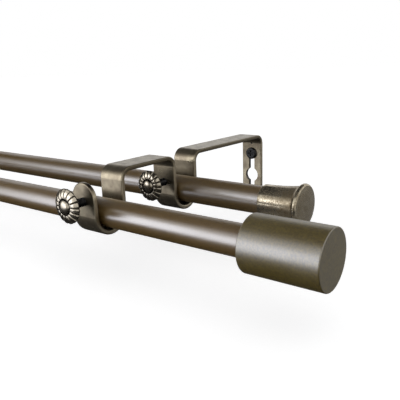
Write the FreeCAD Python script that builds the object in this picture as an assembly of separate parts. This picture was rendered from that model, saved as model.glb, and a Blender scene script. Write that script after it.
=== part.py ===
import FreeCAD, Part
import math
import os

# Double curtain pole on two bent strip brackets, in millimetres.
# The origin is where the right wall screw enters the wall: X runs along the poles to the right,
# Y runs into the wall, Z is up, and the wall is the plane Y = 0.

# Poles: a thin inner tube slides in an outer tube
pole_length = 711.0
front_diameter = 15.875
back_diameter = 16.7
tube_wall = 0.7
telescope_clearance = 0.08
outer_tube_length = 590.0
inner_end_gap = 21.0
front_rod_out = 161.2
back_rod_out = 96.4
back_rod_rise = 0.35

# Brackets
bracket_setback = 97.4
strip_width = 17.4
strip_thickness = 2.7
strip_edge_round = 0.8
bend_radius = 4.6
cradle_radius = 9.0
seat_clearance = 0.05
front_pole_lift = 0.95
back_pole_lift = 2.25
top_above_rods = 23.9
tab_above_rods = 18.8
plate_below_rods = 34.0
rods_below_screw = 8.7

# Keyhole and spare hole in the wall plate
keyhole_drop = 17.3
keyhole_diameter = 10.9
slot_width = 4.9
slot_tail = 15.0
spare_hole_rise = 8.0
spare_hole_diameter = 1.6

# Wall screws
wall_screw_diameter = 4.0
wall_screw_neck_diameter = 3.6
wall_screw_depth = 7.0
wall_screw_point = 3.0
wall_screw_head_diameter = 9.2
wall_screw_head_height = 1.8
wall_screw_head_round = 1.2
recess_width = 4.8
recess_slot = 0.9
recess_depth = 1.2

# Thumb screws
shank_diameter = 4.9
shank_clearance = 0.05
shank_length = 16.2
shank_in_head = 2.6
shank_chamfer = 0.6
tip_clearance = 0.15
front_screw_rise = 8.3
back_screw_rise = 6.05

# Rosette heads of the thumb screws
rosette_diameter = 19.0
rosette_back_diameter = 15.0
rosette_rim_start = 1.0
rosette_rim_height = 2.0
crown_diameter = 9.4
crown_height = 3.5
button_diameter = 7.6
button_height = 4.8
button_side_height = 3.2
button_groove_depth = 1.1
petal_count = 16
petal_groove_width = 1.3
petal_groove_depth = 0.8

# Finials of the front pole, with their studs and tube inserts
finial_diameter = 27.5
finial_length = 38.1
finial_edge_round = 0.6
stud_diameter = 6.0
stud_in_finial = 12.0
stud_in_insert = 12.0
stud_clearance = 0.05
stud_hole_spare = 1.0
insert_length = 16.0
insert_clearance = 0.03

# Caps of the back pole
cap_length = 25.7
cap_setback = 5.2
cap_body_radius = 9.6
cap_rim_radius = 12.7
cap_mouth_length = 2.0
cap_neck_slope = 8.5
cap_flare_slope = 60.0
cap_flare_round = 1.8
cap_rim_round = 1.6
cap_end_wall = 4.2
cap_dome = 0.9
cap_clearance = 0.05

# Sizes that follow from the ones above
front_radius = front_diameter / 2
back_radius = back_diameter / 2
telescope_step = tube_wall + telescope_clearance
shank_radius = shank_diameter / 2
front_y = -front_rod_out
back_y = -back_rod_out
front_z = -rods_below_screw
back_z = front_z + back_rod_rise
right_end = bracket_setback
left_end = right_end - pole_length
left_bracket_x = left_end + bracket_setback
front_cradle_y = front_y - (cradle_radius - front_radius - seat_clearance)
back_cradle_y = back_y - (cradle_radius - back_radius - seat_clearance)
front_cradle_z = front_z - front_radius - front_pole_lift + cradle_radius
back_cradle_z = back_z - back_radius - back_pole_lift + cradle_radius
thin_slack = cradle_radius - (front_radius - telescope_step) - seat_clearance
left_lift = math.sqrt(thin_slack ** 2 - (front_y - front_cradle_y) ** 2) - (front_cradle_z - front_z)
back_inset = cap_setback + cap_end_wall

X = FreeCAD.Vector(1, 0, 0)
Y = FreeCAD.Vector(0, 1, 0)
Z = FreeCAD.Vector(0, 0, 1)
ORIGIN = FreeCAD.Vector(0, 0, 0)


def save(shape, node):
    shape.exportStep("parts/" + node + ".step")
    print(node, shape.isValid(), len(shape.Solids), round(shape.Volume, 1))


def lines(*points):
    """Straight edges from each (radius, height) point to the next."""
    corners = [FreeCAD.Vector(r, 0, h) for r, h in points]
    return [Part.LineSegment(a, b).toShape() for a, b in zip(corners, corners[1:])]


def arc(*points):
    """One arc through three (radius, height) points."""
    return [Part.Arc(*[FreeCAD.Vector(r, 0, h) for r, h in points]).toShape()]


def dome(radius, height, rise):
    """Arc of a ball's cap that climbs by rise from (radius, height) to the axis."""
    ball = (radius ** 2 + rise ** 2) / (2 * rise)
    centre = height + rise - ball
    half_way = math.atan2(radius, height - centre) / 2
    middle = (ball * math.sin(half_way), centre + ball * math.cos(half_way))
    return arc((radius, height), middle, (0, height + rise))


def turned(edges, foot, direction):
    """Solid turned from a closed outline about its own axis, then stood on foot along direction."""
    solid = Part.Face(Part.Wire(edges)).revolve(ORIGIN, Z, 360)
    solid.Placement = FreeCAD.Placement(foot, FreeCAD.Rotation(Z, direction))
    return solid


def rod(radius, foot, direction, length):
    return Part.makeCylinder(radius, length, foot, direction)


def tube(radius, bore, right_x, left_x, y, z):
    """Plain tube along X between two ends."""
    foot = FreeCAD.Vector(left_x, y, z)
    length = right_x - left_x
    return rod(radius, foot, X, length).cut(rod(bore, foot, X, length))


def strip_side(offset):
    """One side of the bent strip in the Y-Z plane, at offset from its middle line, from tab to wall plate."""
    reach = cradle_radius + strip_thickness / 2
    bend = bend_radius + strip_thickness / 2
    top = front_z + top_above_rods - strip_thickness / 2
    plate_y = -strip_thickness / 2
    edges = []

    def point(y, z):
        return FreeCAD.Vector(0, y, z)

    def straight(start, end):
        edges.append(Part.LineSegment(point(*start), point(*end)).toShape())

    def bent(y, z, radius, first, last):
        turns = [math.radians(a) for a in (first, (first + last) / 2, last)]
        through = [point(y + radius * math.cos(a), z + radius * math.sin(a)) for a in turns]
        edges.append(Part.Arc(*through).toShape())

    here = (front_cradle_y - reach - offset, front_z + tab_above_rods)
    front = (front_cradle_y, front_cradle_z, back_cradle_y - reach)
    back = (back_cradle_y, back_cradle_z, plate_y)
    for cradle_y, cradle_z, next_y in (front, back):
        rise_y = cradle_y + reach + offset
        straight(here, (cradle_y - reach - offset, cradle_z))
        bent(cradle_y, cradle_z, reach + offset, 180, 360)
        straight((rise_y, cradle_z), (rise_y, top - bend))
        bent(cradle_y + reach + bend, top - bend, bend - offset, 180, 90)
        straight((cradle_y + reach + bend, top - offset), (next_y - bend, top - offset))
        bent(next_y - bend, top - bend, bend - offset, 90, 0)
        here = (next_y - offset, top - bend)
    straight(here, (plate_y - offset, front_z - plate_below_rods))
    return edges


def round_end(y, tip_z, upward):
    """Waste that is cut away to leave a half-round end on the strip."""
    half = strip_width / 2
    depth = 2 * strip_thickness
    centre_z = tip_z - upward * half
    corner = FreeCAD.Vector(-strip_width, y - depth / 2, min(centre_z, tip_z + upward * half))
    block = Part.makeBox(2 * strip_width, depth, strip_width, corner)
    return block.cut(rod(half, FreeCAD.Vector(0, y - depth / 2, centre_z), Y, depth))


def strip_edges(body):
    """Long edges of the strip and the edges of its round ends, which the press leaves a little rounded."""
    half = strip_width / 2
    chosen = []
    for edge in body.Edges:
        box = edge.BoundBox
        along_side = box.XLength < 0.01 and abs(abs(box.XMin) - half) < 0.01
        round_end_edge = isinstance(edge.Curve, Part.Circle) and abs(edge.Curve.Axis.y) > 0.99
        if along_side or round_end_edge:
            chosen.append(edge)
    return chosen


def bracket(x, lift):
    """Steel strip bent into a wall plate, a wall arm, two cradles with an arch between them, and a tab."""
    half = strip_thickness / 2
    outline = strip_side(half) + strip_side(-half)
    tab_end = (front_z + tab_above_rods, front_cradle_y - cradle_radius)
    plate_end = (front_z - plate_below_rods, 0.0)
    for z, y in (tab_end, plate_end):
        ends = (FreeCAD.Vector(0, y - strip_thickness, z), FreeCAD.Vector(0, y, z))
        outline.append(Part.LineSegment(*ends).toShape())
    face = Part.Face(Part.Wire(Part.__sortEdges__(outline)))
    body = face.extrude(X * strip_width)
    body.translate(X * -strip_width / 2)
    tab_y = front_cradle_y - cradle_radius - half
    body = body.cut(round_end(tab_y, front_z + tab_above_rods, 1))
    body = body.cut(round_end(-half, front_z - plate_below_rods, -1))
    body = body.makeFillet(strip_edge_round, strip_edges(body))
    holes = ((front_cradle_y, front_z + front_screw_rise), (back_cradle_y, back_z + back_screw_rise))
    for cradle_y, hole_z in holes:
        foot = FreeCAD.Vector(0, cradle_y - cradle_radius - 2 * strip_thickness, hole_z)
        body = body.cut(rod(shank_radius + shank_clearance, foot, Y, 3 * strip_thickness))
    body = body.cut(keyhole())
    body.translate(FreeCAD.Vector(x, 0, lift))
    return body


def keyhole():
    """Cutter for the keyhole, its slots up to the screw and down, and the spare hole."""
    depth = 3 * strip_thickness
    y = -2 * strip_thickness
    slot_radius = slot_width / 2
    low = -keyhole_drop - slot_tail
    holes = [
        rod(keyhole_diameter / 2, FreeCAD.Vector(0, y, -keyhole_drop), Y, depth),
        rod(slot_radius, FreeCAD.Vector(0, y, low), Y, depth),
        Part.makeBox(slot_width, depth, -low, FreeCAD.Vector(-slot_radius, y, low)),
        rod(spare_hole_diameter / 2, FreeCAD.Vector(0, y, spare_hole_rise), Y, depth),
    ]
    return rod(slot_radius, FreeCAD.Vector(0, y, 0), Y, depth).multiFuse(holes)


def wall_screw(x, lift):
    """Pan-head wood screw through the top of the keyhole slot, with a cross recess."""
    radius = wall_screw_diameter / 2
    head_radius = wall_screw_head_diameter / 2
    head_top = strip_thickness + wall_screw_head_height
    shoulder = head_top - wall_screw_head_round
    crown = head_radius - wall_screw_head_round
    bulge = wall_screw_head_round * math.sqrt(0.5)
    neck = wall_screw_neck_diameter / 2
    point = wall_screw_point - wall_screw_depth
    outline = lines((0, -wall_screw_depth), (radius, point), (radius, 0), (neck, 0), (neck, strip_thickness))
    outline += lines((neck, strip_thickness), (head_radius, strip_thickness), (head_radius, shoulder))
    outline += arc((head_radius, shoulder), (crown + bulge, shoulder + bulge), (crown, head_top))
    outline += lines((crown, head_top), (0, head_top), (0, -wall_screw_depth))
    screw = turned(outline, ORIGIN, -Y)
    for width, height in ((recess_width, recess_slot), (recess_slot, recess_width)):
        corner = FreeCAD.Vector(-width / 2, -head_top, -height / 2)
        screw = screw.cut(Part.makeBox(width, recess_depth, height, corner))
    screw.translate(FreeCAD.Vector(x, 0, lift))
    return screw


def thumb_screw_tip(rod_radius, rise):
    """How far in front of the pole's axis the screw's tip stops, where its lower edge bears on the pole."""
    low = max(rise - shank_radius, 0.0)
    return math.sqrt(max(rod_radius ** 2 - low ** 2, 0.0)) + tip_clearance


def shank(tip):
    """Plain threaded-size shank with a chamfered tip, whose other end sits in the head."""
    end = shank_length + shank_in_head
    neck = shank_radius - shank_chamfer
    outline = lines((0, 0), (neck, 0), (shank_radius, shank_chamfer), (shank_radius, end), (0, end), (0, 0))
    return turned(outline, tip, -Y)


def rosette(tip):
    """Cast head: a rim, a sloping ring of petals, and a domed button in a groove."""
    rim = rosette_diameter / 2
    back = rosette_back_diameter / 2
    crown = crown_diameter / 2
    button = button_diameter / 2
    bore = shank_radius + shank_clearance
    bore_end = shank_in_head + shank_clearance
    floor = crown_height - button_groove_depth
    outline = lines((bore, 0), (back, 0), (rim, rosette_rim_start), (rim, rosette_rim_height))
    outline += lines((rim, rosette_rim_height), (crown, crown_height), (button, floor))
    outline += lines((button, floor), (button, button_side_height))
    outline += dome(button, button_side_height, button_height - button_side_height)
    outline += lines((0, button_height), (0, bore_end), (bore, bore_end), (bore, 0))
    head = turned(outline, ORIGIN, Z)
    grooves = [petal_groove(360 * k / petal_count) for k in range(petal_count)]
    head = head.cut(Part.Compound(grooves))
    head.Placement = FreeCAD.Placement(tip - Y * shank_length, FreeCAD.Rotation(Z, -Y))
    return head


def petal_groove(angle):
    """V-shaped groove that runs down the slope from the crown and out over the rim."""
    crown = FreeCAD.Vector(crown_diameter / 2, 0, crown_height)
    rim = FreeCAD.Vector(rosette_diameter / 2, 0, rosette_rim_height)
    side = Y * petal_groove_width
    corners = [crown + side + Z * petal_groove_depth, crown - side + Z * petal_groove_depth]
    corners.append(crown - Z * petal_groove_depth)
    section = Part.Face(Part.makePolygon(corners + corners[:1]))
    groove = section.extrude((rim - crown) * 1.5)
    groove.rotate(ORIGIN, Z, angle)
    return groove


def finial(x, outward):
    """Turned cylinder with softly rounded edges and a tapped hole in its rear face."""
    foot = FreeCAD.Vector(x, front_y, front_z)
    body = rod(finial_diameter / 2, foot, outward, finial_length)
    rims = [e for e in body.Edges if e.Closed]
    body = body.makeFillet(finial_edge_round, rims)
    return body.cut(rod(stud_diameter / 2 + stud_clearance, foot, outward, stud_in_finial + stud_hole_spare))


def stud(x, outward):
    foot = FreeCAD.Vector(x, front_y, front_z) - outward * stud_in_insert
    return rod(stud_diameter / 2, foot, outward, stud_in_insert + stud_in_finial)


def insert(x, outward, bore):
    """Plug pressed into the end of the front pole, tapped through for the stud."""
    foot = FreeCAD.Vector(x, front_y, front_z)
    plug = rod(bore - insert_clearance, foot, -outward, insert_length)
    return plug.cut(rod(stud_diameter / 2 + stud_clearance, foot, -outward, insert_length))


def cap(x, outward, rod_radius):
    """Flared cap slipped over the end of the back pole: sleeve, trumpet flare, round rim, low dome."""
    bore = rod_radius + cap_clearance
    slight = math.radians(cap_neck_slope)
    steep = math.radians(cap_flare_slope)
    between = (slight + steep) / 2
    rim_z = cap_length - cap_rim_round
    face_r = cap_rim_radius - cap_rim_round
    knee_r = face_r + cap_rim_round * math.cos(steep)
    knee_z = rim_z - cap_rim_round * math.sin(steep)
    neck_r = knee_r - cap_flare_round * (math.cos(slight) - math.cos(steep))
    neck_z = knee_z - cap_flare_round * (math.sin(steep) - math.sin(slight))
    flare_r = neck_r + cap_flare_round * (math.cos(slight) - math.cos(between))
    flare_z = neck_z + cap_flare_round * (math.sin(between) - math.sin(slight))
    waist_r = cap_body_radius + (neck_r - cap_body_radius) / 4
    waist_z = (cap_mouth_length + neck_z) / 2
    bore_end = cap_length - cap_end_wall
    outline = lines((bore, 0), (cap_body_radius, 0), (cap_body_radius, cap_mouth_length))
    outline += arc((cap_body_radius, cap_mouth_length), (waist_r, waist_z), (neck_r, neck_z))
    outline += arc((neck_r, neck_z), (flare_r, flare_z), (knee_r, knee_z))
    outline += arc((knee_r, knee_z), (cap_rim_radius, rim_z), (face_r, cap_length))
    outline += dome(face_r, cap_length, cap_dome)
    outline += lines((0, cap_length + cap_dome), (0, bore_end), (bore, bore_end), (bore, 0))
    mouth = FreeCAD.Vector(x, back_y, back_z) - outward * (cap_setback + cap_length)
    return turned(outline, mouth, outward)


os.makedirs("parts", exist_ok=True)

outer_mouth = right_end - outer_tube_length
hidden_end = right_end - inner_end_gap
rows = (
    ("front", front_y, front_z, front_radius, 0.0, front_screw_rise),
    ("back", back_y, back_z, back_radius, back_inset, back_screw_rise),
)
for row, rod_y, rod_z, radius, inset, rise in rows:
    thin = radius - telescope_step
    outer = tube(radius, radius - tube_wall, right_end - inset, outer_mouth, rod_y, rod_z)
    inner = tube(thin, thin - tube_wall, hidden_end, left_end + inset, rod_y, rod_z)
    save(outer, row + "_outer_tube")
    save(inner, row + "_inner_tube")

ends = (
    ("right", right_end, X, 0.0, 0.0, 0.0),
    ("left", left_end, -X, left_bracket_x, left_lift, telescope_step),
)
for side, end_x, outward, bracket_x, lift, thinner in ends:
    save(bracket(bracket_x, lift), "bracket_" + side)
    save(wall_screw(bracket_x, lift), "wall_screw_" + side)
    save(insert(end_x, outward, front_radius - thinner - tube_wall), "tube_insert_" + side)
    save(stud(end_x, outward), "finial_stud_" + side)
    save(finial(end_x, outward), "front_finial_" + side)
    save(cap(end_x, outward, back_radius - thinner), "back_cap_" + side)
    for row, rod_y, rod_z, radius, inset, rise in rows:
        tip_y = rod_y - thumb_screw_tip(radius - thinner, rise + lift)
        tip = FreeCAD.Vector(bracket_x, tip_y, rod_z + rise + lift)
        save(shank(tip), "screw_shank_" + row + "_" + side)
        save(rosette(tip), "screw_head_" + row + "_" + side)
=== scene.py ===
import math
import bpy
import numpy as np
from mathutils import Matrix, Vector


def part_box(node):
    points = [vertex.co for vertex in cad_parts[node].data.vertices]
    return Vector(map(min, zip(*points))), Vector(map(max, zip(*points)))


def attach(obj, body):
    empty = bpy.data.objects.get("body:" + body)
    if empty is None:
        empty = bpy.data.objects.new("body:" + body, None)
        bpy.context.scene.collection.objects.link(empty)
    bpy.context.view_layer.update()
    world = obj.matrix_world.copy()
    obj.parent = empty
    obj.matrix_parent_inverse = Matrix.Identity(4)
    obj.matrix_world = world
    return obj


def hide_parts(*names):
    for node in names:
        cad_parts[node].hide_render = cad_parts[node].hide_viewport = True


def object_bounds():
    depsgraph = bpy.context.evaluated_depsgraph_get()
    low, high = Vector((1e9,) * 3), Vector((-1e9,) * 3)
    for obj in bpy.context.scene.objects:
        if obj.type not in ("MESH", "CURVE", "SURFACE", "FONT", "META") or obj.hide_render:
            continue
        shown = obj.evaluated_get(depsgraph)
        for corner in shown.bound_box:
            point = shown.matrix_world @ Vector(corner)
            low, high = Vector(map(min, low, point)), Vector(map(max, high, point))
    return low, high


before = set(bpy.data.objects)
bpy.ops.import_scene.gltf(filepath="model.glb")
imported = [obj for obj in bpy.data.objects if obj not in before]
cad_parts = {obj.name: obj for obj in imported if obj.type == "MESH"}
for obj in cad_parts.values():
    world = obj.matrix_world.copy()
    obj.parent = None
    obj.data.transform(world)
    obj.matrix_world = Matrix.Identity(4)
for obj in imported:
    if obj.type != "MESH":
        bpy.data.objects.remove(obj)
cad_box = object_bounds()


# Brackets.
# One strip of steel each, bent cold into a wall plate, an arm, two cradles with an arch between, and a round tab.
# The strip is plated with pewter, then toned darker and rubbed back, and hangs on its wall screw by a keyhole.
MM = 0.001
SIDES = ("right", "left")
TONER_CLOUD = 5 * MM
PLATING_GRIT = 0.5 * MM
# Painted highlight and wear at the strip's edges: how far in the lightening starts, and where it is full.
EDGE_WEAR_AND_SHEEN_STARTS, EDGE_WEAR_AND_SHEEN_FULL = 1.0 * MM, 0.2 * MM
HOLES_REACH = 5.6 * MM
LEGS_TOP, ARM_UNDERSIDE = 9 * MM, 12.5 * MM


def linear(hex_colour):
    """Linear RGBA of an sRGB hex colour: ((c + 0.055) / 1.055) ^ 2.4 for each channel c, or c / 12.92 near black."""
    srgb = np.array([int(hex_colour[i:i + 2], 16) / 255 for i in (1, 3, 5)])
    rgb = np.where(srgb <= 0.04045, srgb / 12.92, ((srgb + 0.055) / 1.055) ** 2.4)
    return (*rgb.tolist(), 1.0)


def add(tree, kind, inputs=None, **settings):
    """New node: settings are its own properties, inputs are socket values, or sockets to link from."""
    made = tree.nodes.new(kind)
    for name, value in settings.items():
        setattr(made, name, value)
    for name, value in (inputs or {}).items():
        if isinstance(value, bpy.types.NodeSocket):
            tree.links.new(value, made.inputs[name])
        else:
            made.inputs[name].default_value = value
    return made


def new_finish(name):
    """Empty material, its node tree and its Object coordinates."""
    finish = bpy.data.materials.new(name)
    finish.use_nodes = True
    finish.node_tree.nodes.clear()
    place = add(finish.node_tree, "ShaderNodeTexCoord").outputs["Object"]
    return finish, finish.node_tree, place


def dress(names, finish):
    """Gives the finish to CAD nodes that keep their shape."""
    for name in names:
        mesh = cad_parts[name].data
        mesh.materials.clear()
        mesh.materials.append(finish)


def antique_pewter(half_width, half_spacing):
    """Pewter plate toned brown-grey: clouds a few millimetres wide under a satin gloss, which is duller where the
    toner stayed on. The grit of the plating is drawn 0.5 mm wide, coarser than real, so that it shows.
    The strip's edges are lighter, by the distance from its middle line: partly the toner rubbed off, partly a painted
    highlight where the rounded edges catch the light. Painted shade darkens the sides of the arm and the arch, which
    lie above the legs, and the walls of the holes, which face sideways near that line."""
    finish, tree, place = new_finish("antique pewter plate")
    cloud = add(tree, "ShaderNodeTexNoise", {"Vector": place, "Scale": 1 / TONER_CLOUD, "Detail": 4.0})
    grit = add(tree, "ShaderNodeTexNoise", {"Vector": place, "Scale": 1 / PLATING_GRIT, "Detail": 2.0})
    toned = add(tree, "ShaderNodeMapRange", {"Value": cloud.outputs["Fac"], "From Min": 0.35, "From Max": 0.65})
    plate = add(tree, "ShaderNodeMix", {"Factor": toned.outputs["Result"], "A": linear("#7b705e"),
                                        "B": linear("#938973")}, data_type="RGBA")
    where = add(tree, "ShaderNodeSeparateXYZ", {"Vector": place})
    off_middle = add(tree, "ShaderNodeMath", {0: where.outputs["X"], 1: half_spacing}, operation="PINGPONG")
    # Painted highlight and wear: lighter towards the strip's edges, partly toner rubbed off, partly light caught by
    # the rounded edges.
    edge_wear_and_sheen = add(tree, "ShaderNodeMapRange", {"Value": off_middle.outputs["Value"], "From Min": half_width - EDGE_WEAR_AND_SHEEN_STARTS,
                                            "From Max": half_width - EDGE_WEAR_AND_SHEEN_FULL})
    rubbed = add(tree, "ShaderNodeMix", {"Factor": edge_wear_and_sheen.outputs["Result"], "A": plate.outputs["Result"],
                                         "B": linear("#a99e87")}, data_type="RGBA")
    facing = add(tree, "ShaderNodeSeparateXYZ", {"Vector": place.node.outputs["Normal"]})
    slant = add(tree, "ShaderNodeMath", {0: facing.outputs["X"]}, operation="ABSOLUTE")
    wall = add(tree, "ShaderNodeMapRange", {"Value": slant.outputs["Value"], "From Min": 0.2, "From Max": 0.5})
    level = add(tree, "ShaderNodeMapRange", {"Value": where.outputs["Z"], "From Min": LEGS_TOP,
                                             "From Max": ARM_UNDERSIDE})
    # Painted shade: the sideways faces of the arm and the arch, above the legs, are darkened towards #6b6250.
    side_shade_mask = add(tree, "ShaderNodeMath", {0: wall.outputs["Result"], 1: level.outputs["Result"]}, operation="MULTIPLY")
    painted_side_shade = add(tree, "ShaderNodeMix", {"Factor": side_shade_mask.outputs["Value"], "A": rubbed.outputs["Result"],
                                        "B": linear("#6b6250")}, data_type="RGBA")
    # Painted shade: the sideways walls of the holes near the middle line are darkened to nearly black.
    inner = add(tree, "ShaderNodeMath", {0: off_middle.outputs["Value"], 1: HOLES_REACH}, operation="LESS_THAN")
    hole_shade_mask = add(tree, "ShaderNodeMath", {0: wall.outputs["Result"], 1: inner.outputs["Value"]}, operation="MULTIPLY")
    colour = add(tree, "ShaderNodeMix", {"Factor": hole_shade_mask.outputs["Value"], "A": painted_side_shade.outputs["Result"],
                                         "B": linear("#2b2620")}, data_type="RGBA")
    dull = add(tree, "ShaderNodeMapRange", {"Value": cloud.outputs["Fac"], "From Min": 0.3, "From Max": 0.7,
                                            "To Min": 0.35, "To Max": 0.27})
    relief = add(tree, "ShaderNodeBump", {"Height": grit.outputs["Fac"], "Strength": 0.15, "Distance": 0.03 * MM})
    metal = add(tree, "ShaderNodeBsdfPrincipled", {
        "Base Color": colour.outputs["Result"], "Metallic": 0.85, "Roughness": dull.outputs["Result"],
        "Normal": relief.outputs["Normal"]})
    add(tree, "ShaderNodeOutputMaterial", {"Surface": metal.outputs["BSDF"]})
    return finish


strip_low, strip_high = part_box("bracket_right")
spacing = strip_low.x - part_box("bracket_left")[0].x
dress(["bracket_" + side for side in SIDES], antique_pewter((strip_high.x - strip_low.x) / 2, spacing / 2))


# Wall screws.
# Pan-head wood screws of hardened steel, blackened in oil, with a cross recess pressed into the head.
# Each hangs its bracket by the keyhole slot, and its thread is rolled down to a sharp point.
SCREW_COLUMNS = 96
SCREW_PITCH = 1.7  # millimetres, as in all turned pieces below
SCREW_RADIUS = 2.0
SCREW_THREAD = 0.55
SCREW_POINT = 3.0
NECK_RADIUS = 1.8
NECK_TAPER = 0.6
THREAD_ENDS = 0.5
UNDER_HEAD = 2.7
HEAD_ROUND = 1.2
RECESS_LENGTH, RECESS_END = 4.8, 0.7
RECESS_WIDTH, RECESS_SIDE = 1.0, 0.15
RECESS_DEPTH = 1.2
AXIS = 0.05


def skin(name, grid, finish, attribute=None):
    """Closed mesh over a grid of points whose columns run round an axis: every cell is a quad, the last column
    joins the first, and the end rows are closed by fans to their middles. Faces are turned to point outwards."""
    rows, columns = grid.shape[:2]
    points = np.concatenate([grid.reshape(-1, 3), grid[:1].mean(axis=1), grid[-1:].mean(axis=1)])
    here = np.arange(rows * columns).reshape(rows, columns)
    beside = np.roll(here, -1, axis=1)
    quads = np.stack([here[:-1], beside[:-1], beside[1:], here[1:]], axis=-1).reshape(-1, 4)
    first = np.stack([beside[0], here[0], np.full(columns, rows * columns)], axis=-1)
    last = np.stack([here[-1], beside[-1], np.full(columns, rows * columns + 1)], axis=-1)
    corners = points[np.concatenate([quads[:, :3], quads[:, [0, 2, 3]], first, last])] - points.mean(axis=0)
    inside_out = np.einsum("ij,ij->", corners[:, 0], np.cross(corners[:, 1], corners[:, 2])) < 0
    faces = [f[:, ::-1].tolist() if inside_out else f.tolist() for f in (quads, first, last)]
    mesh = bpy.data.meshes.new(name)
    mesh.from_pydata(points.tolist(), [], faces[0] + faces[1] + faces[2])
    mesh.polygons.foreach_set("use_smooth", np.ones(len(mesh.polygons), dtype=bool))
    mesh.set_sharp_from_angle(angle=math.radians(38))
    if attribute is not None:
        values = np.concatenate([attribute.ravel(), attribute[:1].mean(axis=1), attribute[-1:].mean(axis=1)])
        mesh.attributes.new("wear", "FLOAT", "POINT").data.foreach_set("value", values.astype(np.float32))
    mesh.materials.append(finish)
    piece = bpy.data.objects.new(name, mesh)
    bpy.context.scene.collection.objects.link(piece)
    return piece


def stretch(*stations, step=0.15):
    """Profile through (radius, height) stations in millimetres, filled in so that no step is longer than step."""
    spans = [np.linspace(a, b, max(int(math.dist(a, b) / step), 1), endpoint=False)
             for a, b in zip(stations, stations[1:])]
    return np.concatenate([*spans, [stations[-1]]])


def spun(profile, columns):
    """Radii, heights and angles of a profile carried round its axis, each as a (rows, columns) grid."""
    angle = np.linspace(0, 2 * np.pi, columns, endpoint=False)
    radius, turn = np.meshgrid(profile[:, 0], angle, indexing="ij")
    height = np.broadcast_to(profile[:, 1:], radius.shape)
    return radius, height, turn


def out_from_wall(radius, height, turn, foot):
    """Points of a turned piece whose axis comes out from the wall: x and z are the foot's plus the radius times the
    cosine and the sine of the angle, and y is the foot's less the height."""
    return np.stack([radius * np.cos(turn), -height, radius * np.sin(turn)], axis=-1) * MM + np.array(foot)


def thread(radius, height, turn, pitch, depth):
    """Radius of a rolled thread: less the depth times a wave of one turn for each pitch, which is half of one plus
    the cosine of the turn, to the power 0.7."""
    phase = (height / pitch - turn / (2 * np.pi)) % 1.0
    return radius - depth * (0.5 + 0.5 * np.cos(2 * np.pi * phase)) ** 0.7


def wall_screw_profile(head_radius, head_top, tip):
    """Profile of the screw: a cone from the point, straight up to the neck, the neck through the plate, a flat seat,
    an upright side, a quarter of a circle of HEAD_ROUND, and a flat top in to the axis."""
    corner = np.linspace(0.1, np.pi / 2, 9)
    flat, side = head_radius - HEAD_ROUND, head_top - HEAD_ROUND
    return np.concatenate([
        stretch((AXIS, -tip), (SCREW_RADIUS, SCREW_POINT - tip), (SCREW_RADIUS, -NECK_TAPER), (NECK_RADIUS, 0.0),
                (NECK_RADIUS, UNDER_HEAD), step=0.12),
        stretch((head_radius - 0.1, UNDER_HEAD), (head_radius, UNDER_HEAD + 0.1), (head_radius, side)),
        np.stack([flat + HEAD_ROUND * np.cos(corner), side + HEAD_ROUND * np.sin(corner)], axis=-1),
        stretch((flat - 0.1, head_top), (AXIS, head_top), step=0.06)])


def cross_recess(across, along):
    """Depth of the recess at a point of the head's top: RECESS_DEPTH in two crossed slots, sloping to nothing over
    RECESS_SIDE at their sides and over RECESS_END at their ends."""
    in_side = np.clip((RECESS_WIDTH / 2 - abs(np.stack([across, along]))) / RECESS_SIDE, 0, 1)
    in_end = np.clip((RECESS_LENGTH / 2 - abs(np.stack([along, across]))) / RECESS_END, 0, 1)
    return RECESS_DEPTH * (in_side * in_end).max(axis=0)


def blackened_steel():
    """Oil-blackened steel: almost black, a dull metal gloss, slightly lighter where handling has rubbed it."""
    finish, tree, place = new_finish("oil-blackened steel")
    rub = add(tree, "ShaderNodeTexNoise", {"Vector": place, "Scale": 1 / (1.2 * MM), "Detail": 3.0})
    tone = add(tree, "ShaderNodeMix", {"Factor": rub.outputs["Fac"], "A": linear("#141414"), "B": linear("#2c2b2a")},
               data_type="RGBA")
    dull = add(tree, "ShaderNodeMapRange", {"Value": rub.outputs["Fac"], "To Min": 0.2, "To Max": 0.36})
    metal = add(tree, "ShaderNodeBsdfPrincipled", {
        "Base Color": tone.outputs["Result"], "Metallic": 0.5, "Roughness": dull.outputs["Result"]})
    add(tree, "ShaderNodeOutputMaterial", {"Surface": metal.outputs["BSDF"]})
    return finish


black_steel = blackened_steel()
for side in SIDES:
    low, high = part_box("wall_screw_" + side)
    head_radius = (high.x - low.x) / 2 / MM
    head_top = -low.y / MM
    radius, height, turn = spun(wall_screw_profile(head_radius, head_top, high.y / MM), SCREW_COLUMNS)
    threaded = thread(radius, height, turn, SCREW_PITCH, np.minimum(SCREW_THREAD, 0.3 * radius))
    radius = np.where(height < -THREAD_ENDS, threaded, radius)
    recess = cross_recess(radius * np.cos(turn), radius * np.sin(turn))
    height = height - np.where(height > head_top - 0.2, recess, 0)
    grid = out_from_wall(radius, height, turn, ((low.x + high.x) / 2, 0, (low.z + high.z) / 2))
    piece = skin("wall_screw_cut_" + side, grid, black_steel)
    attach(piece, side + "_half")
    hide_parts("wall_screw_" + side)


# Poles.
# Two telescoping poles of thin rolled steel tube, the thinner left half sliding in the right one.
# They are sprayed with a cocoa-brown metallic enamel and a satin lacquer, and lie loose in the brackets.
POLES = ("front_outer_tube", "front_inner_tube", "back_outer_tube", "back_inner_tube")
FILM_DRIFT = 26 * MM


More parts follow.
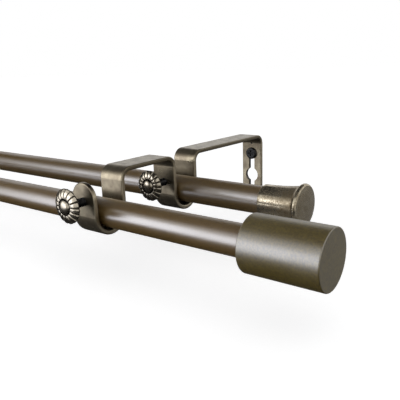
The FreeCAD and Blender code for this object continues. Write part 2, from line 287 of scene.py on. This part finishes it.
def satin_metallic_enamel(name, dark, light, flake, roughness, ior):
    """Sprayed metallic enamel: flakes mottle the colour, a slow drift in the film's thickness changes the gloss, and
    the lacquer gives a soft, nearly white highlight. The flakes are drawn almost a millimetre wide, far coarser than
    real, so that they show. The IOR is above a lacquer's own, because it stands for the shine of the flakes too."""
    finish, tree, place = new_finish(name)
    flakes = add(tree, "ShaderNodeTexNoise", {"Vector": place, "Scale": 1 / flake, "Detail": 3.0})
    drift = add(tree, "ShaderNodeTexNoise", {"Vector": place, "Scale": 1 / FILM_DRIFT, "Detail": 2.0})
    grain = add(tree, "ShaderNodeMapRange", {"Value": flakes.outputs["Fac"], "From Min": 0.3, "From Max": 0.7})
    colour = add(tree, "ShaderNodeMix", {"Factor": grain.outputs["Result"], "A": linear(dark), "B": linear(light)},
                 data_type="RGBA")
    gloss = add(tree, "ShaderNodeMapRange", {"Value": drift.outputs["Fac"], "From Min": 0.3, "From Max": 0.7,
                                             "To Min": roughness - 0.03, "To Max": roughness + 0.05})
    relief = add(tree, "ShaderNodeBump", {"Height": flakes.outputs["Fac"], "Strength": 0.3, "Distance": 0.05 * MM})
    paint = add(tree, "ShaderNodeBsdfPrincipled", {
        "Base Color": colour.outputs["Result"], "Roughness": gloss.outputs["Result"], "Metallic": 0.0,
        "Normal": relief.outputs["Normal"], "IOR": ior})
    add(tree, "ShaderNodeOutputMaterial", {"Surface": paint.outputs["BSDF"]})
    return finish


dress(POLES, satin_metallic_enamel("cocoa metallic enamel", "#5f471a", "#705626", 0.8 * MM, 0.33, 2.8))


# Tube inserts and studs.
# A plug of moulded nylon is pressed into each end of the front pole and takes a stud of zinc-plated steel.
# The finial screws onto the stud, and hides both.
def moulded_nylon():
    """Black-brown moulded nylon, dull from a spark-eroded mould. The texture is drawn 0.3 mm wide, coarser than real,
    so that it shows."""
    finish, tree, place = new_finish("moulded nylon")
    spark = add(tree, "ShaderNodeTexNoise", {"Vector": place, "Scale": 1 / (0.3 * MM), "Detail": 2.0})
    tone = add(tree, "ShaderNodeMix", {"Factor": spark.outputs["Fac"], "A": linear("#1b1815"), "B": linear("#2c2823")},
               data_type="RGBA")
    relief = add(tree, "ShaderNodeBump", {"Height": spark.outputs["Fac"], "Strength": 0.3, "Distance": 0.05 * MM})
    nylon = add(tree, "ShaderNodeBsdfPrincipled", {
        "Base Color": tone.outputs["Result"], "Roughness": 0.55, "Normal": relief.outputs["Normal"]})
    add(tree, "ShaderNodeOutputMaterial", {"Surface": nylon.outputs["BSDF"]})
    return finish


def zinc_plate():
    """Bright zinc plate with a faint blue-grey spangle, drawn 0.8 mm wide, coarser than real, so that it shows."""
    finish, tree, place = new_finish("bright zinc plate")
    spangle = add(tree, "ShaderNodeTexVoronoi", {"Vector": place, "Scale": 1 / (0.8 * MM)})
    tone = add(tree, "ShaderNodeMix", {"Factor": spangle.outputs["Distance"], "A": linear("#a9acae"),
                                       "B": linear("#c9cbcb")}, data_type="RGBA")
    zinc = add(tree, "ShaderNodeBsdfPrincipled", {"Base Color": tone.outputs["Result"], "Metallic": 1.0,
                                                  "Roughness": 0.3})
    add(tree, "ShaderNodeOutputMaterial", {"Surface": zinc.outputs["BSDF"]})
    return finish


dress(["tube_insert_" + side for side in SIDES], moulded_nylon())
dress(["finial_stud_" + side for side in SIDES], zinc_plate())


# Finials.
# Plain turned cylinders with eased edges, drilled and tapped in the rear face, screwed up against the pole's end.
# They are sprayed with the poles but in a more olive shade, over a body that leaves a slightly coarser grain.
dress(["front_finial_" + side for side in SIDES],
      satin_metallic_enamel("olive metallic enamel", "#46390c", "#705f22", 0.9 * MM, 0.38, 2.65))


# Caps of the back pole.
# Spun brass-plated cups pushed over the pole's ends: a sleeve, a trumpet flare, a round rim and a low dome.
# The plating is polished over a brown patina, which stays on in clouds and flecks.
CAP_COLUMNS = 128
CAP_BODY = 9.6
CAP_MOUTH = 2.0
CAP_FLARE = 1.8
CAP_ROUND = 1.6
CAP_DOME = 0.9
CAP_END = 5.1
CAP_PLAY = 0.05
SLIGHT, STEEP = np.radians(8.5), np.radians(60)
NECK_POLISH, RIM_POLISH, DOME_POLISH = 0.45, 0.95, 0.85
PATINA_CLOUD = 4 * MM
PATINA_FLECK = 0.9 * MM


def cap_profile(bore, length, face_radius):
    """Profile of the cap and the polish of each of its points. Inside, the bore out to an eased mouth. Outside, a
    sleeve whose radius grows with the square of the way along it, a hollow arc of CAP_FLARE from the SLIGHT slope to
    the STEEP one, a rim of CAP_ROUND from there to the face, and a dome that falls with the square of its radius.
    The polish is 1 at the mouth, falls along the sleeve with the power 1.5, and is NECK_POLISH in the hollow."""
    roll = np.linspace(np.pi / 2 + STEEP, 0, 30)
    rim = np.stack([face_radius + CAP_ROUND * np.sin(roll),
                    length - CAP_DOME - CAP_ROUND + CAP_ROUND * np.cos(roll)], axis=-1)
    slope = np.linspace(SLIGHT, STEEP, 20)
    flare = np.stack([rim[0, 0] - CAP_FLARE * (np.cos(slope) - np.cos(STEEP)),
                      rim[0, 1] - CAP_FLARE * (np.sin(STEEP) - np.sin(slope))], axis=-1)
    climb = np.linspace(0, 1, 50)
    sleeve = np.stack([CAP_BODY + (flare[0, 0] - CAP_BODY) * climb ** 2,
                       CAP_MOUTH + (flare[0, 1] - CAP_MOUTH) * climb], axis=-1)
    across = np.linspace(1, 0.01, 30)
    dome = np.stack([face_radius * across, length - CAP_DOME * across ** 2], axis=-1)
    mouth = np.concatenate([
        stretch((AXIS, length - CAP_END), (bore, length - CAP_END), (bore, 0.2), (bore + 0.25, 0.0),
                (CAP_BODY - 0.3, 0.0)),
        [(CAP_BODY - 0.09, 0.09), (CAP_BODY, 0.3)]])
    polish = np.concatenate([np.ones(len(mouth)), 1 - (1 - NECK_POLISH) * climb ** 1.5,
                             np.full(len(flare) - 1, NECK_POLISH), np.full(len(rim) - 1, RIM_POLISH),
                             np.full(len(dome) - 1, DOME_POLISH)])
    return np.concatenate([mouth, sleeve, flare[1:], rim[1:], dome[1:]]), polish


def antique_brass():
    """Polished antique brass: grey gold with clouds and short flecks of brown patina. The polish is thinner and
    duller where the wear value of the surface is low, as in the hollow of the neck."""
    finish, tree, place = new_finish("antique brass, spun")
    wear = add(tree, "ShaderNodeAttribute", attribute_name="wear").outputs["Fac"]
    cloud = add(tree, "ShaderNodeTexNoise", {"Vector": place, "Scale": 1 / PATINA_CLOUD, "Detail": 5.0,
                                             "Distortion": 0.6})
    fleck = add(tree, "ShaderNodeTexNoise", {"Vector": place, "Scale": 1 / PATINA_FLECK, "Detail": 2.0})
    mixed = add(tree, "ShaderNodeMath", {0: cloud.outputs["Fac"], 1: fleck.outputs["Fac"]}, operation="ADD")
    cleared = add(tree, "ShaderNodeMapRange", {"Value": mixed.outputs["Value"], "From Min": 0.45, "From Max": 1.2})
    rubbed = add(tree, "ShaderNodeMath", {0: cleared.outputs["Result"], 1: wear}, operation="MULTIPLY")
    tone = add(tree, "ShaderNodeMix", {"Factor": rubbed.outputs["Value"], "A": linear("#5a4314"),
                                       "B": linear("#bcb29c")}, data_type="RGBA")
    gloss = add(tree, "ShaderNodeMapRange", {"Value": rubbed.outputs["Value"], "To Min": 0.4, "To Max": 0.17})
    bare = add(tree, "ShaderNodeMapRange", {"Value": rubbed.outputs["Value"], "To Min": 0.4, "To Max": 1.0})
    metal = add(tree, "ShaderNodeBsdfPrincipled", {
        "Base Color": tone.outputs["Result"], "Metallic": bare.outputs["Result"],
        "Roughness": gloss.outputs["Result"]})
    add(tree, "ShaderNodeOutputMaterial", {"Surface": metal.outputs["BSDF"]})
    return finish


cap_brass = antique_brass()
for side, outward, pole in (("right", 1, "back_outer_tube"), ("left", -1, "back_inner_tube")):
    low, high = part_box("back_cap_" + side)
    pole_low, pole_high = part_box(pole)
    profile, polish = cap_profile((pole_high.z - pole_low.z) / 2 / MM + CAP_PLAY, (high.x - low.x) / MM,
                                  (high.z - low.z) / 2 / MM - CAP_ROUND)
    radius, height, turn = spun(profile, CAP_COLUMNS)
    mouth = low.x if outward > 0 else high.x
    grid = np.stack([mouth + outward * height * MM, (low.y + high.y) / 2 + radius * np.cos(turn) * MM,
                     (low.z + high.z) / 2 + radius * np.sin(turn) * MM], axis=-1)
    piece = skin("flared_cap_" + side, grid, cap_brass, np.broadcast_to(polish[:, None], radius.shape))
    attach(piece, side + "_half")
    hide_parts("back_cap_" + side)


# Thumb screws.
# A blackened screw, threaded all along, with a cast rosette head: a ring of petals round a domed button.
# The head is brass plated, blackened, then polished, so that the dark stays only between the petals.
SHANK_COLUMNS = 48
SHANK_PITCH = 0.8
SHANK_THREAD = 0.42
SHANK_BEVEL = 0.6
SHANK_AXIS = 0.3
PETALS = 16
PETAL_COLUMNS = 20
PETAL_SINK = 0.55
PETAL_SCALLOP = 0.45
PETAL_ENDS = 4.7
PETAL_RUNOUT = 0.8
SOCKET_RADIUS, SOCKET_DEPTH = 2.5, 2.65
BACK_RADIUS = 7.5
RIM_LOW, RIM_HIGH = 1.3, 1.6
RIM_EASE = 0.25
RIM_BAND, RIM_SIDE = 1.2, 0.12
RING_BOTTOM = 1.2
RING_FOOT, RING_RISE, RING_CROWN = 1.9, 1.5, 0.55
RING_INSIDE = 4.5
GROOVE = ((4.45, 2.8), (4.1, 2.7))
BUTTON_FOOT, BUTTON_RADIUS, BUTTON_RISE = 3.0, 3.95, 1.8
BUTTON_EDGE = 3.9
BUTTON_WEAR, BACK_WEAR, RIM_WEAR = 0.6, 0.1, 0.2


def shank_profile(shank_radius, length):
    """Profile of the shank: a flat end, a bevel, a straight side and a flat end."""
    return stretch((SHANK_AXIS, 0.0), (shank_radius - SHANK_BEVEL, 0.0), (shank_radius, SHANK_BEVEL),
                   (shank_radius, length), (SHANK_AXIS, length), step=0.11)


def rosette_profile(rim):
    """Profile of the head: the socket of the shank, a flat back, a bevel out to the rim, an eased rim, a ring whose
    height climbs evenly inwards plus half a sine wave of RING_CROWN, a groove, and a quarter of an ellipse."""
    climb = np.linspace(0, 1, 34)
    ring = np.stack([rim - RIM_EASE - (rim - RIM_EASE - RING_INSIDE) * climb,
                     RING_FOOT + RING_RISE * climb + RING_CROWN * np.sin(np.pi * climb)], axis=-1)
    crown = np.linspace(0, np.pi / 2, 16)
    button = np.stack([(BUTTON_RADIUS - 0.02) * np.cos(crown) + 0.02, BUTTON_FOOT + BUTTON_RISE * np.sin(crown)],
                      axis=-1)
    return np.concatenate([
        stretch((AXIS, SOCKET_DEPTH), (SOCKET_RADIUS, SOCKET_DEPTH), (SOCKET_RADIUS, 0.0), (BACK_RADIUS, 0.0),
                (rim - 0.3, 0.9), (rim, RIM_LOW), step=0.4),
        stretch((rim, RIM_LOW), (rim, RIM_HIGH), (rim - RIM_EASE, RING_FOOT), step=0.2)[1:],
        ring[1:],
        stretch(tuple(ring[-1]), *GROOVE, (BUTTON_RADIUS, BUTTON_FOOT), step=0.2)[1:],
        button[1:]])


def petalled(radius, height, turn, rim):
    """Radius, height and wear of the head with its petals. Across each petal a value runs from 0 on the crown to 1 at
    its sides: the ring sinks by PETAL_SINK times its 6th power, less towards the inner end, the rim draws in by
    PETAL_SCALLOP times its 4th power, and the wear is 1 less its 5th power."""
    across = abs(((turn * PETALS / (2 * np.pi)) % 1.0) * 2 - 1)
    on_ring = (height > RING_BOTTOM) & (radius > PETAL_ENDS)
    inner_end = np.clip((radius - PETAL_ENDS) / PETAL_RUNOUT, 0, 1)
    height = height - np.where(on_ring, PETAL_SINK * across ** 6 * inner_end, 0)
    radius = radius - np.where(on_ring & (radius > rim - RIM_BAND), PETAL_SCALLOP * across ** 4, 0)
    wear = np.where(on_ring, 1.0 - across ** 5, np.where(radius < BUTTON_EDGE, BUTTON_WEAR, BACK_WEAR))
    return radius, height, np.where((radius > rim - RIM_SIDE) & on_ring, RIM_WEAR, wear)


def relieved_brass():
    """Cast brass, blackened and relieved: bright on the petals' crowns, nearly black deep in the grooves, by the
    wear value of the surface, which is 1 on the crowns and 0 in the grooves."""
    finish, tree, place = new_finish("relieved antique brass, cast")
    wear = add(tree, "ShaderNodeAttribute", attribute_name="wear").outputs["Fac"]
    cast = add(tree, "ShaderNodeTexNoise", {"Vector": place, "Scale": 1 / (0.9 * MM), "Detail": 3.0})
    uneven = add(tree, "ShaderNodeMapRange", {"Value": cast.outputs["Fac"], "To Min": -0.25, "To Max": 0.25})
    rubbed = add(tree, "ShaderNodeMath", {0: wear, 1: uneven.outputs["Result"]}, operation="ADD")
    bright = add(tree, "ShaderNodeMapRange", {"Value": rubbed.outputs["Value"], "From Min": 0.25, "From Max": 0.65})
    tone = add(tree, "ShaderNodeMix", {"Factor": bright.outputs["Result"], "A": linear("#1b1712"),
                                       "B": linear("#b5ac9b")}, data_type="RGBA")
    gloss = add(tree, "ShaderNodeMapRange", {"Value": bright.outputs["Result"], "To Min": 0.45, "To Max": 0.25})
    metal = add(tree, "ShaderNodeBsdfPrincipled", {
        "Base Color": tone.outputs["Result"], "Metallic": 1.0, "Roughness": gloss.outputs["Result"]})
    add(tree, "ShaderNodeOutputMaterial", {"Surface": metal.outputs["BSDF"]})
    return finish


rosette_brass = relieved_brass()
for side in SIDES:
    for row in ("front", "back"):
        place = row + "_" + side
        low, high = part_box("screw_shank_" + place)
        middle_x, middle_z = (low.x + high.x) / 2, (low.z + high.z) / 2
        shank_radius = (high.x - low.x) / 2 / MM
        radius, height, turn = spun(shank_profile(shank_radius, (high.y - low.y) / MM), SHANK_COLUMNS)
        depth = np.where(radius > shank_radius - 0.7, SHANK_THREAD, 0.0)
        radius = thread(radius, height, turn, SHANK_PITCH, depth)
        grid = out_from_wall(radius, height, turn, (middle_x, high.y, middle_z))
        piece = skin("threaded_shank_" + place, grid, black_steel)
        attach(piece, "shank_" + place)
        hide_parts("screw_shank_" + place)

        low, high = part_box("screw_head_" + place)
        rim = (high.x - low.x) / 2 / MM
        radius, height, turn = spun(rosette_profile(rim), PETALS * PETAL_COLUMNS)
        radius, height, wear = petalled(radius, height, turn, rim)
        grid = out_from_wall(radius, height, turn, (middle_x, high.y, middle_z))
        piece = skin("rosette_" + place, grid, rosette_brass, wear)
        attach(piece, "head_" + place)
        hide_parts("screw_head_" + place)


# Floor.
# A wide round sheet of white paper just under the pole, which takes the soft shadow.
# The camera sees it lifted to white, and reflections see the cards below it instead.
FLOOR = cad_box[0].z - 0.5 * MM
FLOOR_RADIUS = 12.0
FLOOR_CORNERS = 96


def sheet(name, corners, finish):
    """One flat face over the corners, in their order, which is part of the stage."""
    mesh = bpy.data.meshes.new(name)
    mesh.from_pydata(corners.tolist(), [], [list(range(len(corners)))])
    mesh.materials.append(finish)
    thing = bpy.data.objects.new(name, mesh)
    bpy.context.scene.collection.objects.link(thing)
    return thing


def white_paper():
    """Matt white paper: nearly even, with clouds drawn 40 mm wide, since real fibre is too fine to show."""
    finish, tree, place = new_finish("white paper")
    fibre = add(tree, "ShaderNodeTexNoise", {"Vector": place, "Scale": 1 / (40 * MM), "Detail": 2.0})
    tone = add(tree, "ShaderNodeMix", {"Factor": fibre.outputs["Fac"], "A": linear("#f6f6f6"), "B": linear("#f9f9f9")},
               data_type="RGBA")
    matt = add(tree, "ShaderNodeBsdfDiffuse", {"Color": tone.outputs["Result"]})
    seen = add(tree, "ShaderNodeLightPath").outputs["Is Camera Ray"]
    lift = add(tree, "ShaderNodeMapRange", {"Value": seen, "To Min": 0.0, "To Max": 0.5})
    glow = add(tree, "ShaderNodeEmission", {"Color": (1, 1, 1, 1), "Strength": lift.outputs["Result"]})
    both = add(tree, "ShaderNodeAddShader", {0: matt.outputs["BSDF"], 1: glow.outputs["Emission"]})
    add(tree, "ShaderNodeOutputMaterial", {"Surface": both.outputs["Shader"]})
    return finish


angle = np.linspace(0, 2 * np.pi, FLOOR_CORNERS, endpoint=False)
ring = np.stack([FLOOR_RADIUS * np.cos(angle), FLOOR_RADIUS * np.sin(angle), np.full(FLOOR_CORNERS, FLOOR)], axis=-1)
floor = sheet("floor", ring, white_paper())
floor.visible_diffuse = False
floor.visible_glossy = False
floor.visible_shadow = False


# Reflection cards.
# Sheets of cloth that the camera doesn't see, as a photographer sets them round polished metal to give it dark edges:
# velvet below and at the left, charcoal felt above, grey felt at the right and behind. Only reflections see the
# ones above and at the sides. Diffuse light meets the velvet below and the grey felt at the right too, so the velvet
# also takes away light from below and shades the object's undersides.
def cloth(name, dark, light):
    """Matt cloth: a short pile that mottles between two tones, drawn 2 mm wide, coarser than real."""
    finish, tree, place = new_finish(name)
    pile = add(tree, "ShaderNodeTexNoise", {"Vector": place, "Scale": 1 / (2 * MM)})
    tone = add(tree, "ShaderNodeMix", {"Factor": pile.outputs["Fac"], "A": linear(dark), "B": linear(light)},
               data_type="RGBA")
    nap = add(tree, "ShaderNodeBsdfDiffuse", {"Color": tone.outputs["Result"]})
    add(tree, "ShaderNodeOutputMaterial", {"Surface": nap.outputs["BSDF"]})
    return finish


def card(name, finish, middle, along, up):
    """Flat sheet that the camera doesn't see, that casts no shadow and that glass doesn't show: its corners are the
    middle plus and minus along and up.
    """
    middle, along, up = np.array(middle), np.array(along), np.array(up)
    corners = [middle - along - up, middle + along - up, middle + along + up, middle - along + up]
    thing = sheet(name, np.stack(corners), finish)
    thing.visible_camera = False
    thing.visible_shadow = False
    thing.visible_transmission = False
    return thing


velvet = cloth("black velvet", "#2c2b2a", "#363534")
charcoal = cloth("charcoal felt", "#5a5959", "#605f5f")
felt = cloth("grey felt", "#a6a6a6", "#acacac")
card("dark_card", velvet, (0, 0, -0.45), (2.3, 0, 0), (0, 2.3, 0))
card("grey_card", felt, (0.65, 0.35, FLOOR - 1 * MM), (0.6, 0, 0), (0, 0.5, 0))
for high_card in (card("ceiling", charcoal, (-0.5, 0.3, 1.5), (1.8, 0, 0), (0, 1.6, 0)),
                  card("flag", velvet, (-1.25, -0.25, 0.15), (0, 0.4, 0), (0, 0, 0.6)),
                  card("back_card", felt, (-0.85, 0.75, -0.165), (0.42, 0.58, 0), (0, 0, 0.285))):
    high_card.visible_diffuse = False


# White surround.
# The white room round the stage: a plain fill light on the object.
# The camera, reflections and glass see it at full white.
FILL = 0.58
world = bpy.data.worlds.new("white surround")
bpy.context.scene.world = world
world.use_nodes = True
tree = world.node_tree
tree.nodes.clear()
path = add(tree, "ShaderNodeLightPath").outputs
seen = add(tree, "ShaderNodeMath", {0: path["Is Camera Ray"], 1: path["Is Glossy Ray"]}, operation="MAXIMUM")
seen = add(tree, "ShaderNodeMath", {0: seen.outputs["Value"], 1: path["Is Transmission Ray"]}, operation="MAXIMUM")
level = add(tree, "ShaderNodeMapRange", {"Value": seen.outputs["Value"], "To Min": FILL, "To Max": 1.0})
surround = add(tree, "ShaderNodeBackground", {"Color": (1, 1, 1, 1), "Strength": level.outputs["Result"]})
add(tree, "ShaderNodeOutputWorld", {"Surface": surround.outputs["Background"]})


# Softbox.
# One large cool-white lamp at the front left, level with the pole, which draws the long highlight on the tubes.
KEY_TARGET = (0.108, -0.192, 0.0)
KEY_DIRECTION = (-0.62, -0.78, 0.08)
KEY_DISTANCE = 1.1
KEY_WIDTH, KEY_HEIGHT = 0.90, 0.74
KEY_RADIANCE = 2.65
KEY_TINT = (0.95, 0.98, 1.08)
lamp = bpy.data.lights.new("key", "AREA")
lamp.shape = "RECTANGLE"
lamp.size = KEY_WIDTH
lamp.size_y = KEY_HEIGHT
lamp.energy = math.pi * KEY_WIDTH * KEY_HEIGHT * KEY_RADIANCE
lamp.color = KEY_TINT
key = bpy.data.objects.new("key", lamp)
bpy.context.scene.collection.objects.link(key)
away = Vector(KEY_DIRECTION).normalized()
facing = away.to_track_quat("Z", "Y").to_matrix().to_4x4()
key.matrix_world = Matrix.Translation(Vector(KEY_TARGET) + away * KEY_DISTANCE) @ facing


# Camera.
# A normal lens near the right end, at the photograph's angle: azimuth from straight ahead, elevation and roll.
EYE = Vector((207.99, -340.64, 67.27)) * MM
AZIMUTH, ELEVATION, ROLL = math.radians(37.66), math.radians(14.90), math.radians(-1.80)
camera_data = bpy.data.cameras.new("camera")
camera_data.sensor_width = 36.0
camera_data.lens = 45.08
camera_data.shift_x = -0.0015
camera_data.shift_y = 0.00127
camera_data.clip_start = 0.01
camera_data.clip_end = 100.0
camera = bpy.data.objects.new("camera", camera_data)
bpy.context.scene.collection.objects.link(camera)
right = Vector((math.cos(AZIMUTH), math.sin(AZIMUTH), 0))
level_back = Vector((math.sin(AZIMUTH), -math.cos(AZIMUTH), 0))
back = level_back * math.cos(ELEVATION) + Vector((0, 0, math.sin(ELEVATION)))
axes = Matrix((right, back.cross(right), back)).transposed() @ Matrix.Rotation(ROLL, 3, "Z")
camera.matrix_world = Matrix.Translation(EYE) @ axes.to_4x4()
bpy.context.scene.camera = camera

bpy.context.scene.view_settings.view_transform = "Standard"
